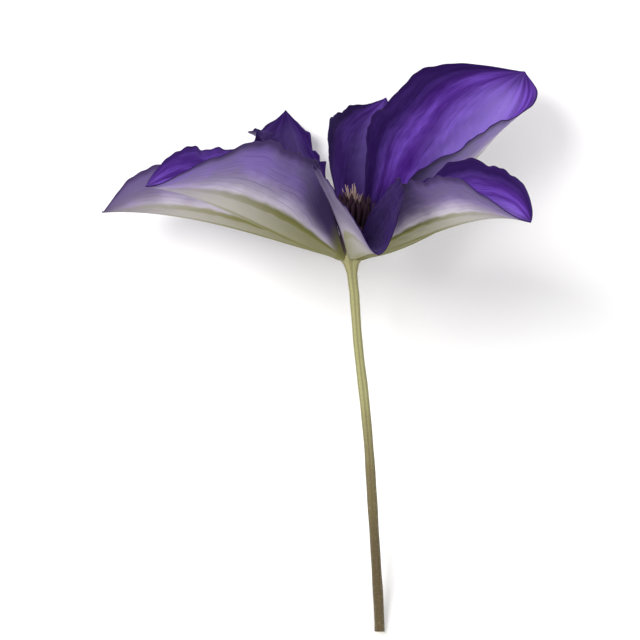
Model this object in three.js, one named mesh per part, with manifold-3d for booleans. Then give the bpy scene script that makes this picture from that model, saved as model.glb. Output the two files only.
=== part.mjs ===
// A clematis flower with its stalk, as picked, lying on a flat surface. Millimetres, +Z up.
//
// The flower is drawn in a frame of its own: x to the right, y along the flower's axis and
// z towards the front, with the foot of the tepals at 0. It is then tipped over about x, so that
// the two back tepals and the cut end of the stalk rest on the surface.
import * as THREE from 'three';
import { mergeVertices } from 'three/addons/utils/BufferGeometryUtils.js';
import Module from 'manifold-3d';

const wasm = await Module();
wasm.setup();

// ---- Driving dimensions ----
const AXIS_RISE = 18.1;           // degrees that the flower's axis rises above the surface
const FOOT_HEIGHT = 31.1;         // height of the tepals' foot above the surface
const BEND_RANGE = 1.6;           // height over which a tepal bends flat where it meets the surface

const TEPAL_THICKNESS = 0.66;
const MIDRIB_HEIGHT = 0.5;        // how far the ribs stand out of a tepal's outer face
const SIDE_RIB_HEIGHT = 0.26;
const TEPAL_FOOT_RADIUS = 3.2;    // where a tepal starts, from the flower's axis
const TEPAL_FOOT_RISE = 0.5;
const CLAW_SHARE = 0.06;          // half width at the foot, as a share of the widest
const TIP_HALF_WIDTH = 0.4;
const CREASE_RADIUS = [0.7, 3.9]; // of the fold along most midribs, at foot and tip
const MARGIN_WAVES = 3;           // along each margin
const MARGIN_CRINKLES = 8;
const LENGTH_STEPS = 21;
// Columns across a tepal, as fractions of its half width, with the height of the rib there.
const COLUMNS = [
  [-1, 0], [-0.8, 0], [-0.58, 0], [-0.38, 0], [-0.24, SIDE_RIB_HEIGHT], [-0.1, 0], [0, MIDRIB_HEIGHT],
  [0.1, 0], [0.24, SIDE_RIB_HEIGHT], [0.38, 0], [0.58, 0], [0.8, 0], [1, 0],
];

const STALK_LENGTH = 97;
const STALK_RADIUS = [1.25, 1.3]; // under the flower and at the cut end
const STALK_RIBS = 6;
const STALK_RIB_DEPTH = 0.12;
// The stalk's slight bend: how far it stands to the right, against the share of its length down.
const STALK_BEND = [
  [0, 0], [1.1, 0.11], [1.9, 0.23], [3.6, 0.375], [4.8, 0.505], [5.9, 0.69], [7.4, 0.94], [7.6, 1],
];
const STALK_STEPS = 24;
const RECEPTACLE_RADIUS = 2.6;
const RECEPTACLE_TOP = 2.0;

const STAMEN_COUNT = 42;
const STAMEN_HEIGHT = 17.5;
const STAMEN_SPREAD = 6.2;        // radius of the brush of stamens at its top
const STAMEN_RING = [1.5, 2.6];   // inner and outer radius of the ring that they stand on
const STAMEN_RING_HEIGHT = 1.6;
const STAMEN_WHORLS = 3;          // outer to inner, each one closer in and taller
// Radius along a stamen: a slim filament, then the anther.
const STAMEN_RINGS = [[0, 0.36], [0.45, 0.34], [0.56, 0.58], [0.86, 0.5]];
const STYLE_COUNT = 11;
const STYLE_HEIGHT = 19;
const STYLE_SPREAD = [2.2, 1.1];  // radius of the styles' tips, every other one closer in
const STYLE_CORE_RADIUS = 1.05;
const STYLE_RINGS = [[0, 0.42], [0.3, 0.34], [0.75, 0.28]];
const FIT_GAP = 0.3;              // between the receptacle and what stands on it
const SEED = 20418;

// Each tepal is a long boat-shaped blade. azimuth is where it leaves the receptacle, in degrees from
// +x towards +z; tip is its point; rise is its slope over the flat of the flower at foot and tip.
// widest is where along its length it is widest and taper is how full it stays from there on.
// Its two halves fold up from the midrib: ahead is the half towards growing azimuth, and fold is its
// angle at the foot, the middle and the tip; curl turns its margin out, or in where it is negative;
// reach makes a half wider. roll turns the whole blade about its midrib, at foot and tip, and crease is
// the radius of the fold there.
const TEPALS = {
  tepal_front: {
    azimuth: 85, tip: [7, 0.6, 64], rise: [-2, -6], roll: [0, 0], crease: [0.7, 1.6],
    width: 46, widest: 0.4, taper: 1.7, wave: 0.8, crinkle: 0.4,
    ahead: { fold: [74, 63, 71], curl: 0, reach: 1.15 },
    behind: { fold: [82, 65, 62], curl: 5, reach: 0.93 },
  },
  tepal_front_left: {
    azimuth: 140, tip: [-52.5, 18.2, 42], rise: [10, 3], roll: [-2, -8], crease: CREASE_RADIUS,
    width: 43, widest: 0.44, taper: 2.2, wave: 1, crinkle: 0.4,
    ahead: { fold: [66, 60, 60], curl: 5, reach: 1.05 },
    behind: { fold: [76, 75, 70], curl: 0, reach: 1.05 },
  },
  tepal_left: {
    azimuth: 192, tip: [-65, 12.2, -20], rise: [15, -4], roll: [0, 0], crease: CREASE_RADIUS,
    width: 38, widest: 0.54, taper: 2.6, wave: 0.8, crinkle: 0.4,
    ahead: { fold: [74, 54, 46], curl: 10, reach: 1 },
    behind: { fold: [60, 66, 75], curl: 0, reach: 0.93 },
  },
  tepal_back_left: {
    azimuth: 238, tip: [-17, 38.5, -48], rise: [26, 38], roll: [0, 0], crease: CREASE_RADIUS,
    width: 34, widest: 0.55, taper: 1.8, wave: 1.5, crinkle: 1,
    ahead: { fold: [65, 66, 50], curl: -50, reach: 0.4 },
    behind: { fold: [74, 40, 12], curl: 0, reach: 1.16 },
  },
  tepal_back: {
    azimuth: 280, tip: [9.5, 41.5, -50], rise: [30, 35], roll: [0, 0], crease: CREASE_RADIUS,
    width: 36, widest: 0.45, taper: 2.2, wave: 1.2, crinkle: 0.4,
    ahead: { fold: [82, 42, 30], curl: 5, reach: 0.52 },
    behind: { fold: [66, 62, 48], curl: -30, reach: 1.12 },
  },
  tepal_back_right: {
    azimuth: 321, tip: [46, 49.3, -36], rise: [22, 50], roll: [10, 45], crease: CREASE_RADIUS,
    width: 44, widest: 0.52, taper: 3.4, wave: 1.2, crinkle: 0.4,
    ahead: { fold: [90, 74, 50], curl: 0, reach: 0.93 },
    behind: { fold: [80, 38, 32], curl: 0, reach: 1.18 },
  },
  tepal_right: {
    azimuth: 4, tip: [44, 15, 4], rise: [6, 3], roll: [0, 0], crease: CREASE_RADIUS,
    width: 31, widest: 0.45, taper: 2.2, wave: 1, crinkle: 0.4,
    ahead: { fold: [82, 70, 45], curl: 10, reach: 0.75 },
    behind: { fold: [82, 62, 40], curl: 20, reach: 0.65 },
  },
  tepal_front_right: {
    azimuth: 44, tip: [46, 9, 44], rise: [8, -14], roll: [0, 5], crease: CREASE_RADIUS,
    width: 39, widest: 0.52, taper: 2.4, wave: 0.8, crinkle: 0.4,
    ahead: { fold: [82, 68, 62], curl: 0, reach: 0.8 },
    behind: { fold: [82, 77, 60], curl: 5, reach: 0.95 },
  },
};

const COLORS = {
  tepal: 0x5a3a94,
  stalk: 0x8d865d,
  stamens: 0x2a1420,
  pistils: 0x6a3f3a,
};

const AXIS = new THREE.Vector3(0, 1, 0);
const UP = new THREE.Vector3(0, Math.sin(rad(AXIS_RISE)), Math.cos(rad(AXIS_RISE)));

function rad(degrees) {
  return THREE.MathUtils.degToRad(degrees);
}

function outward(azimuth) {
  return new THREE.Vector3(Math.cos(azimuth), 0, Math.sin(azimuth));
}

// The direction that runs outward at an azimuth and climbs at an angle.
function heading(azimuth, climb) {
  return outward(azimuth).multiplyScalar(Math.cos(climb)).addScaledVector(AXIS, Math.sin(climb));
}

// The point at a radius and a height on the ray of an azimuth.
function standing(azimuth, radius, height) {
  return outward(azimuth).multiplyScalar(radius).addScaledVector(AXIS, height);
}

// The value at s of the parabola through three values at 0, 1/2 and 1.
function through([start, middle, end], s) {
  return start * (1 - s) * (1 - 2 * s) + middle * 4 * s * (1 - s) + end * s * (2 * s - 1);
}

// Height of a point of the flower's frame above the surface.
function heightOf(point) {
  return FOOT_HEIGHT + point.dot(UP);
}

// A height that would be under floor is brought up to it, through a smooth bend.
function bentHeight(height, floor) {
  const over = THREE.MathUtils.clamp(height - floor, -BEND_RANGE, BEND_RANGE);
  return Math.max(height, floor + (over + BEND_RANGE) ** 2 / (4 * BEND_RANGE));
}

function halfWidth(tepal, s) {
  const swell = CLAW_SHARE + (1 - CLAW_SHARE) * Math.sin(Math.PI / 2 * Math.min(s / tepal.widest, 1)) ** 0.95;
  const fade = 1 - Math.max((s - tepal.widest) / (1 - tepal.widest), 0) ** tepal.taper;
  return Math.max(swell * fade * tepal.width / 2, TIP_HALF_WIDTH);
}

// The midrib of a tepal, as a curve that leaves the receptacle and ends at the tip.
function midrib(tepal) {
  const azimuth = rad(tepal.azimuth);
  const foot = standing(azimuth, TEPAL_FOOT_RADIUS, TEPAL_FOOT_RISE);
  const tip = new THREE.Vector3(...tepal.tip);
  const tipAzimuth = Math.atan2(tip.z, tip.x);
  const handle = 0.36 * foot.distanceTo(tip);
  const leave = foot.clone().addScaledVector(heading(azimuth, rad(tepal.rise[0])), handle);
  const arrive = tip.clone().addScaledVector(heading(tipAzimuth, rad(tepal.rise[1])), -handle);
  const across = [azimuth, tipAzimuth].map((angle) => new THREE.Vector3().crossVectors(AXIS, outward(angle)));
  return { curve: new THREE.CubicBezierCurve3(foot, leave, arrive, tip), across };
}

// The middle surface of a tepal: s runs from foot to tip, t from margin to margin.
function tepalSurface(tepal, order) {
  const { curve, across } = midrib(tepal);
  const halfMax = tepal.width / 2;
  return (s, t) => {
    const tangent = curve.getTangent(s);
    const side = across[0].clone().lerp(across[1], s);
    side.addScaledVector(tangent, -side.dot(tangent)).normalize();
    const inner = new THREE.Vector3().crossVectors(tangent, side);
    const roll = rad(THREE.MathUtils.lerp(tepal.roll[0], tepal.roll[1], s));
    const rolledSide = side.clone().multiplyScalar(Math.cos(roll)).addScaledVector(inner, Math.sin(roll));
    const rolledInner = inner.clone().multiplyScalar(Math.cos(roll)).addScaledVector(side, -Math.sin(roll));

    const half = t >= 0 ? tepal.behind : tepal.ahead;
    const breadth = halfWidth(tepal, s) * half.reach;
    const fold = rad(through(half.fold, s));
    const crease = THREE.MathUtils.lerp(tepal.crease[0], tepal.crease[1], s);
    const steps = 24;
    let sideways = 0;
    let inwards = 0;
    for (let k = 0; k < steps; k += 1) {
      const share = (k + 0.5) / steps * Math.abs(t);
      const slope = fold * (1 - Math.exp(-share * breadth / crease)) - rad(half.curl) * share ** 3;
      sideways += Math.cos(slope) * breadth * Math.abs(t) / steps;
      inwards += Math.sin(slope) * breadth * Math.abs(t) / steps;
    }
    const ends = Math.sin(Math.PI * s) ** 0.6 * Math.min(1, halfWidth(tepal, s) / halfMax * 1.5);
    const phase = (t >= 0 ? 0 : 0.5) + order * 0.37;
    inwards += tepal.wave * Math.abs(t) ** 2.5 * Math.sin(2 * Math.PI * (MARGIN_WAVES * s + phase)) * ends;
    const crinkles = Math.sin(2 * Math.PI * (MARGIN_CRINKLES * s + 1.7 * phase));
    inwards += tepal.crinkle * Math.abs(t) ** 4 * crinkles * ends;

    const point = curve.getPoint(s).addScaledVector(rolledSide, Math.sign(t) * sideways);
    point.addScaledVector(rolledInner, inwards);
    const height = heightOf(point);
    return point.addScaledVector(UP, bentHeight(height, TEPAL_THICKNESS / 2) - height);
  };
}

// A tepal as a closed blade, with three ribs on its outer face.
function tepalGeometry(tepal, order) {
  const surface = tepalSurface(tepal, order);
  const inner = [];
  const outer = [];
  for (let i = 0; i <= LENGTH_STEPS; i += 1) {
    for (const [t, rib] of COLUMNS) {
      const s = i / LENGTH_STEPS;
      const nudge = 0.01;
      const alongS = surface(Math.min(s + nudge, 1), t).sub(surface(Math.max(s - nudge, 0), t));
      const alongT = surface(s, Math.min(t + nudge, 1)).sub(surface(s, Math.max(t - nudge, -1)));
      const normal = alongS.cross(alongT).normalize();
      const point = surface(s, t);
      const ribHere = rib * Math.min(1, 3 * (1 - s));
      inner.push(point.clone().addScaledVector(normal, TEPAL_THICKNESS / 2));
      outer.push(point.clone().addScaledVector(normal, -TEPAL_THICKNESS / 2 - ribHere));
    }
  }
  for (const point of [...inner, ...outer]) {
    point.addScaledVector(UP, Math.max(0, -heightOf(point)));
  }
  const across = COLUMNS.length;
  const faces = [];
  const quad = (a, b, c, d) => faces.push(a, b, c, a, c, d);
  for (let i = 0; i < LENGTH_STEPS; i += 1) {
    for (let j = 0; j < across - 1; j += 1) {
      const a = i * across + j;
      faces.push(a, a + across, a + across + 1, a, a + across + 1, a + 1);
      const o = a + inner.length;
      faces.push(o, o + across + 1, o + across, o, o + 1, o + across + 1);
    }
    const first = i * across;
    const last = first + across - 1;
    quad(first + across, first, first + inner.length, first + across + inner.length);
    quad(last, last + across, last + across + inner.length, last + inner.length);
  }
  for (let j = 0; j < across - 1; j += 1) {
    const end = LENGTH_STEPS * across + j;
    quad(j, j + 1, j + 1 + inner.length, j + inner.length);
    quad(end + 1, end, end + inner.length, end + 1 + inner.length);
  }
  const geometry = new THREE.BufferGeometry().setFromPoints([...inner, ...outer]);
  geometry.setIndex(faces);
  geometry.computeVertexNormals();
  return geometry;
}

function toSolid(geometry) {
  geometry.deleteAttribute('normal');
  geometry.deleteAttribute('uv');
  const merged = mergeVertices(geometry, 1e-4);
  return new wasm.Manifold(new wasm.Mesh({
    numProp: 3,
    vertProperties: new Float32Array(merged.attributes.position.array),
    triVerts: new Uint32Array(merged.index.array),
  }));
}

function toGeometry(solid) {
  const mesh = solid.getMesh();
  const geometry = new THREE.BufferGeometry();
  geometry.setAttribute('position', new THREE.BufferAttribute(mesh.vertProperties, 3));
  geometry.setIndex(new THREE.BufferAttribute(mesh.triVerts, 1));
  geometry.computeVertexNormals();
  return geometry;
}

function joined(solids) {
  return solids.reduce((sum, solid) => sum.add(solid));
}

// A closed slender body with flat sides along a path, through rings of [share, radius], pointed at
// its end.
function spindle(path, rings, turn, sides) {
  const points = [];
  const faces = [];
  for (const [share, radius] of rings) {
    for (let k = 0; k < sides; k += 1) {
      const angle = turn + k / sides * 2 * Math.PI;
      points.push(outward(angle).multiplyScalar(radius).add(path.getPoint(share)));
    }
  }
  points.push(path.getPoint(0), path.getPoint(1));
  const footIndex = points.length - 2;
  const tipIndex = points.length - 1;
  for (let k = 0; k < sides; k += 1) {
    const next = (k + 1) % sides;
    faces.push(footIndex, k, next);
    for (let i = 0; i < rings.length - 1; i += 1) {
      const low = i * sides;
      const high = low + sides;
      faces.push(low + k, high + k, high + next, low + k, high + next, low + next);
    }
    const top = (rings.length - 1) * sides;
    faces.push(top + k, tipIndex, top + next);
  }
  const geometry = new THREE.BufferGeometry().setFromPoints(points);
  geometry.setIndex(faces);
  return geometry;
}

// A repeatable stream of numbers from 0 to 1.
function seeded(seed) {
  let state = seed;
  return () => {
    state = (state * 1664525 + 1013904223) % 4294967296;
    return state / 4294967296;
  };
}

function lathe(profile, segments) {
  const points = profile.map(([radius, height]) => new THREE.Vector2(radius, height));
  return new THREE.LatheGeometry(points, segments);
}

// The brush of stamens: flat filaments with a long anther each, on a low ring.
function stamensGeometry() {
  const random = seeded(SEED);
  const [ringInner, ringOuter] = STAMEN_RING;
  const low = RECEPTACLE_TOP + FIT_GAP;
  const high = low + STAMEN_RING_HEIGHT;
  const ring = lathe([
    [ringInner, low], [ringOuter, low], [ringOuter - 0.2, high], [ringInner, high], [ringInner, low],
  ], 24);
  const stamens = [];
  for (let k = 0; k < STAMEN_COUNT; k += 1) {
    const whorl = k % STAMEN_WHORLS;
    const azimuth = k / STAMEN_COUNT * 2 * Math.PI + 0.05 * (random() - 0.5);
    const spread = STAMEN_SPREAD * (1 - 0.2 * whorl) * (0.92 + 0.08 * random());
    const tall = STAMEN_HEIGHT * (0.84 + 0.08 * whorl) * (0.94 + 0.06 * random());
    const path = new THREE.QuadraticBezierCurve3(
      standing(azimuth, ringOuter - 0.55, (low + high) / 2),
      standing(azimuth, 0.75 * ringOuter + 0.28 * spread, 0.55 * tall),
      standing(azimuth, spread, tall),
    );
    stamens.push(toSolid(spindle(path, STAMEN_RINGS, azimuth, 4)));
  }
  return toGeometry(joined([toSolid(ring), ...stamens]));
}

// The styles: a small cone of carpels with long pointed styles.
function pistilsGeometry() {
  const random = seeded(SEED + 1);
  const low = RECEPTACLE_TOP + FIT_GAP;
  const core = lathe([
    [0, low], [STYLE_CORE_RADIUS, low], [0.8 * STYLE_CORE_RADIUS, low + 3], [0, low + 4],
  ], 12);
  const styles = [];
  for (let k = 0; k < STYLE_COUNT; k += 1) {
    const azimuth = k / STYLE_COUNT * 2 * Math.PI;
    const [outerTop, innerTop] = STYLE_SPREAD;
    const path = new THREE.LineCurve3(
      standing(azimuth, 0.45, low + 0.8),
      standing(azimuth, k % 2 ? outerTop : innerTop, STYLE_HEIGHT * (0.88 + 0.12 * random())),
    );
    styles.push(toSolid(spindle(path, STYLE_RINGS, azimuth, 3)));
  }
  return toGeometry(joined([toSolid(core), ...styles]));
}

// The stalk, with its shallow ribs, and the receptacle that it swells into.
function stalkGeometry() {
  const bend = STALK_BEND.map(([offset, share]) => new THREE.Vector3(offset, -share * STALK_LENGTH, 0));
  const path = new THREE.CatmullRomCurve3(bend, false, 'centripetal');
  const sides = 2 * STALK_RIBS;
  const points = [];
  for (let i = 0; i <= STALK_STEPS; i += 1) {
    const share = 1 - i / STALK_STEPS;
    const radius = THREE.MathUtils.lerp(STALK_RADIUS[0], STALK_RADIUS[1], share);
    for (let k = 0; k < sides; k += 1) {
      const ribbed = radius - (k % 2) * STALK_RIB_DEPTH;
      points.push(outward(-k / sides * 2 * Math.PI).multiplyScalar(ribbed).add(path.getPointAt(share)));
    }
  }
  points.push(path.getPointAt(1), path.getPointAt(0));
  const cutCentre = points.length - 2;
  const topCentre = points.length - 1;
  const faces = [];
  for (let k = 0; k < sides; k += 1) {
    const next = (k + 1) % sides;
    faces.push(cutCentre, next, k);
    for (let i = 0; i < STALK_STEPS; i += 1) {
      const low = i * sides;
      const high = low + sides;
      faces.push(low + k, low + next, high + next, low + k, high + next, high + k);
    }
    faces.push(topCentre, STALK_STEPS * sides + k, STALK_STEPS * sides + next);
  }
  for (const point of points) {
    point.addScaledVector(UP, Math.max(0, -heightOf(point)));
  }
  const stalk = new THREE.BufferGeometry().setFromPoints(points);
  stalk.setIndex(faces);
  const receptacle = lathe([
    [0, -4], [STALK_RADIUS[0] + 0.1, -4], [STALK_RADIUS[0] + 0.7, -1.6], [RECEPTACLE_RADIUS, -0.7],
    [RECEPTACLE_RADIUS, 0.9], [RECEPTACLE_RADIUS - 0.5, RECEPTACLE_TOP - 0.2], [0, RECEPTACLE_TOP],
  ], 20);
  return toGeometry(joined([toSolid(stalk), toSolid(receptacle)]));
}

function material(color, roughness) {
  return new THREE.MeshStandardMaterial({ color, roughness, metalness: 0 });
}

function named(name, geometry, finish) {
  const mesh = new THREE.Mesh(geometry, finish);
  mesh.name = name;
  return mesh;
}

const flower = new THREE.Group();
Object.entries(TEPALS).forEach(([name, tepal], order) => {
  flower.add(named(name, tepalGeometry(tepal, order), material(COLORS.tepal, 0.6)));
});
flower.add(named('stamens', stamensGeometry(), material(COLORS.stamens, 0.7)));
flower.add(named('pistils', pistilsGeometry(), material(COLORS.pistils, 0.5)));
flower.add(named('stalk', stalkGeometry(), material(COLORS.stalk, 0.7)));

// Tip the flower over, then put the middle of its outline at the origin.
flower.rotation.x = rad(AXIS_RISE);
flower.position.z = FOOT_HEIGHT;
const laid = new THREE.Group();
laid.add(flower);
const middle = new THREE.Box3().setFromObject(laid, true).getCenter(new THREE.Vector3());
flower.position.x = -middle.x;
flower.position.y = -middle.y;

export default laid;
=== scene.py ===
"""A picked clematis flower on its stalk, lying on a pale surface.

The flower is drawn in a frame of its own, as in the part's source: x to the right, y along the
flower's axis and z towards the front, with the foot of the tepals at 0. FLOWER_TO_FRAME tips it over
onto the surface. Lengths are in metres where nothing else is said.
"""

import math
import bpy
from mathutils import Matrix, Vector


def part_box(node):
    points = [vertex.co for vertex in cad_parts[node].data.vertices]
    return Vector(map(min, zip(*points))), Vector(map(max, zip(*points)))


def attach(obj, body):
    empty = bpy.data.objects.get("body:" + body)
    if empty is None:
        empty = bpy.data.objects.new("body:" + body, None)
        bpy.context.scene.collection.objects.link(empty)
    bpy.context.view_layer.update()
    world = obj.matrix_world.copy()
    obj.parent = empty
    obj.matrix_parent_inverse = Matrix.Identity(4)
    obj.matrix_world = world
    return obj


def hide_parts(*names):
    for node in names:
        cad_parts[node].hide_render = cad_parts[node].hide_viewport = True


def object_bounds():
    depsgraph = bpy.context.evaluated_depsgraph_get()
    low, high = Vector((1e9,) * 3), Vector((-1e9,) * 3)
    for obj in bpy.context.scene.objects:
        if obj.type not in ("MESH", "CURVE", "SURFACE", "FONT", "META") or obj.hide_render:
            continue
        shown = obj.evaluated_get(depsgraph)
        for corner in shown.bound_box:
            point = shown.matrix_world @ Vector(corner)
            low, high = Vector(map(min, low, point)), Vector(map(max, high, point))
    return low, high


bl_info = {
    "name": "Clematis flower",
    "version": (1, 0, 0),
    "blender": (4, 5, 0),
    "location": "View3D > Sidebar > Clematis",
    "description": "Makes a picked clematis flower with waved, ribbed tepals, stamens, styles and stalk",
    "category": "Add Mesh",
}

from dataclasses import dataclass

import bpy
import numpy as np
from bpy.props import FloatProperty, FloatVectorProperty, IntProperty, PointerProperty
from bpy.types import Operator, Panel, PropertyGroup
from mathutils import Matrix, Vector

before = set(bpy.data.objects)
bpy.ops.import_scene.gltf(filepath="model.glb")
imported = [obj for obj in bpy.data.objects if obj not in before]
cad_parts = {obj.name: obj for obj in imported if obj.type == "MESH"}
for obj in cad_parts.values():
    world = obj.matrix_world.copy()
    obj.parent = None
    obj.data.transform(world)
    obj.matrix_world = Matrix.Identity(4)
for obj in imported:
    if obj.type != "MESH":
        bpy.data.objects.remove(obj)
CAD_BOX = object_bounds()

MM = 0.001

# ---- Where the flower lies ----
AXIS_RISE = math.radians(18.1)
FOOT_HEIGHT = 31.1 * MM
BEND_RANGE = 1.6 * MM  # what comes this near the floor, or under it, is bent up

# ---- The stalk ----
# The receptacle's outline, as (radius, height over the tepals' foot).
RECEPTACLE = [(1.35 * MM, -4 * MM), (1.95 * MM, -1.6 * MM), (2.6 * MM, -0.7 * MM), (2.6 * MM, 0.9 * MM),
              (2.1 * MM, 1.8 * MM), (0, 2 * MM)]
SWELL_START = 9 * MM  # how far under the tepals' foot the stalk starts to swell
STALK_LENGTH = 97 * MM
STALK_RIBS = 6
SIDES_A_RIB = 10
STEM_ROWS = 150
RECEPTACLE_ROWS = 60
DOME_ROWS = 6  # the last rows of the receptacle close it with a dome
# The stalk's slight bend: how far it stands to the right, against the share of its length down.
STALK_BEND = [(0, 0), (1.1 * MM, 0.11), (1.9 * MM, 0.23), (3.6 * MM, 0.375), (4.8 * MM, 0.505),
              (5.9 * MM, 0.69), (7.4 * MM, 0.94), (7.6 * MM, 1)]
BEND_SPAN = 17  # over how many rows the bend is evened out
# Rings across the cut end, from its middle: the share of the stalk's radius, and how far it is sunk.
CUT_RINGS = [(0.02, 0.22 * MM), (0.4, 0.16 * MM), (0.8, 0.12 * MM), (0.86, 0)]
LEAST_RADIUS = 0.02 * MM
HAIR_GIRTH = 0.028  # radius of a hair at its foot, as a share of its length
PRESSED_HEIGHT = 0.02 * MM  # of hairs that are pressed to the floor


def flower_foot():
    """The foot of the tepals in the frame: the receptacle is what reaches furthest in the stalk node."""
    low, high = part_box("stalk")
    rim = max(height * math.cos(AXIS_RISE) + radius * math.sin(AXIS_RISE)
              for radius, height in RECEPTACLE)
    return Vector((low.x + max(radius for radius, _ in RECEPTACLE), high.y - rim, FOOT_HEIGHT))


FLOWER_TO_FRAME = Matrix.Translation(flower_foot()) @ Matrix.Rotation(AXIS_RISE, 4, "X")
# Geometry Nodes grow the stamens and styles up z, which is the flower's y.
GROWN_TO_FLOWER = Matrix.Rotation(-math.pi / 2, 4, "X")

# ---- The tepals ----
TEPAL_FOOT = (3.2 * MM, 0.5 * MM)  # radius and height of where a tepal starts
CLAW_SHARE = 0.06  # how wide its foot is, as a share of its widest
TIP_HALF_WIDTH = 0.15 * MM
CREASE_RADIUS = (0.7, 3.9)  # in millimetres, of the fold along most midribs, at foot and tip
HANDLE_SHARE = 0.36  # length of the midrib's handles, as a share of the way from foot to tip
FOLD_STEPS = 24  # the fold is summed up in so many steps from the midrib to the margin
MARGIN_WAVES = 3
MARGIN_CRINKLES = 8
MARGIN_RIPPLES = 19
SIDE_RIB = 0.24  # where the side ribs run, as a share of the half width
RIBS = ((0, 1), (SIDE_RIB, 0.55), (-SIDE_RIB, 0.55))  # place of each rib, and its height as a share
RIB_HALF_WIDTH = 0.5 * MM
GROOVE_SHARE = 0.35  # depth of the groove over a rib, as a share of its height
VEINS_A_HALF = 13
VEIN_FAN = 0.2  # how far the side veins fan out, as a share of the half width
ROOT_STATION = -0.018  # a tepal runs on into the receptacle, with a round end
ROOT_ROWS = 6
ROWS = 170
COLUMNS_A_HALF = 54


@dataclass
class Half:
    """One half of a tepal: its fold at foot, middle and tip, how its margin curls, and its reach."""
    fold: tuple
    curl: float
    reach: float


@dataclass
class Tepal:
    """A boat-shaped blade, in degrees and millimetres, as in the part's source.

    Rise, roll and crease are given at foot and tip, and widest as a share of the way from foot to
    tip. Only here are ragged, how torn its margins are, depth, how far painted shade darkens its inner
    face, and dull, how far painted shade darkens and greys its outer face.
    """
    azimuth: float
    tip: tuple
    rise: tuple
    roll: tuple
    crease: tuple
    width: float
    widest: float
    taper: float
    wave: float
    crinkle: float
    ragged: float
    depth: float
    dull: float
    ahead: Half
    behind: Half


# In each entry, the first line has azimuth to crinkle, the second what is only here, ragged and the
# painted shade of the inner and outer face, the third the halves.
TEPALS = {
    "tepal_front": Tepal(
        85, (7, 0.6, 64), (-2, -6), (0, 0), (0.7, 1.6), 46, 0.4, 1.7, 0.8, 0.4,
        0, 0.85, 0.85,
        Half((74, 63, 71), 0, 1.15), Half((82, 65, 62), 5, 0.93)),
    "tepal_front_left": Tepal(
        140, (-52.5, 18.2, 42), (10, 3), (-2, -8), CREASE_RADIUS, 43, 0.44, 2.2, 1, 0.4,
        0, 0, 0.08,
        Half((66, 60, 60), 5, 1.05), Half((76, 75, 70), 0, 1.05)),
    "tepal_left": Tepal(
        192, (-65, 12.2, -20), (15, -4), (0, 0), CREASE_RADIUS, 38, 0.54, 2.6, 0.8, 0.4,
        0, 0, 0.65,
        Half((74, 54, 46), 10, 1), Half((60, 66, 75), 0, 0.93)),
    "tepal_back_left": Tepal(
        238, (-17, 38.5, -48), (26, 38), (0, 0), CREASE_RADIUS, 34, 0.55, 1.8, 1.5, 1,
        0.11, 0.8, 0.3,
        Half((65, 66, 50), -50, 0.4), Half((74, 40, 12), 0, 1.16)),
    "tepal_back": Tepal(
        280, (9.5, 41.5, -50), (30, 35), (0, 0), CREASE_RADIUS, 36, 0.45, 2.2, 1.2, 0.4,
        0.02, 0.45, 0.08,
        Half((82, 42, 30), 5, 0.52), Half((66, 62, 48), -30, 1.12)),
    "tepal_back_right": Tepal(
        321, (46, 49.3, -36), (22, 50), (10, 45), CREASE_RADIUS, 44, 0.52, 3.4, 1.2, 0.4,
        0.01, 0, 0.08,
        Half((90, 74, 50), 0, 0.93), Half((80, 38, 32), 0, 1.18)),
    "tepal_right": Tepal(
        4, (44, 15, 4), (6, 3), (0, 0), CREASE_RADIUS, 31, 0.45, 2.2, 1, 0.4,
        0, 0, 0.08,
        Half((82, 70, 45), 10, 0.75), Half((82, 62, 40), 20, 0.65)),
    "tepal_front_right": Tepal(
        44, (46, 9, 44), (8, -14), (0, 5), CREASE_RADIUS, 39, 0.52, 2.4, 0.8, 0.4,
        0, 0, 0.5,
        Half((82, 68, 62), 0, 0.8), Half((82, 77, 60), 5, 0.95)),
}

# ---- The stamens and styles ----
RING_RADIUS = 2.05 * MM  # of the ring that the stamens stand on
RING_HEIGHT = 2.3 * MM
STYLE_RADIUS = 0.95 * MM  # of the ring that the styles stand on
STYLE_FOOT = 2 * MM
WHORLS = 3
PATH_POINTS = 18
SEED = 7
# The radius of each part along its length: first its two ends, then what is between.
FILAMENT_SHAPE = [(0, 1), (1, 0.3), (0.5, 0.85), (0.8, 0.7)]
ANTHER_SHAPE = [(0, 0.3), (1, 0.2), (0.1, 0.65), (0.3, 0.95), (0.75, 1), (0.93, 0.65)]
STYLE_SHAPE = [(0, 1), (1, 0.2), (0.3, 0.7), (0.8, 0.5)]

# ---- The stage ----
FLOOR_REACH = 3.0
SENSOR_WIDTH = 36  # in millimetres
# Large soft lamps: a key up to the left, a weaker fill from the right, and a faint one into the open
# flower. Each has its place from where the camera looks, in the flower's frame, its size and its watts.
LAMPS = {"key": ((-0.65, 0.45, 0.9), 0.7, 12), "fill": ((0.4, -0.5, 0.95), 1, 6),
         "face": ((0.15, 1, 0.05), 0.9, 2.8)}
SKY_COLOUR = "#fbfbff"
SKY_STRENGTH = 0.55


def linear(code):
    """An sRGB hex colour as linear RGBA."""
    channels = [int(code[i:i + 2], 16) / 255 for i in (1, 3, 5)]
    return (*[c / 12.92 if c <= 0.04045 else ((c + 0.055) / 1.055) ** 2.4 for c in channels], 1.0)


def colour(name, description, code):
    return FloatVectorProperty(name=name, description=description, subtype="COLOR", size=4, min=0, max=1,
                               default=linear(code))


def length(name, description, default):
    return FloatProperty(name=name, description=description, default=default, min=0, unit="LENGTH",
                         subtype="DISTANCE", precision=5)


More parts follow.
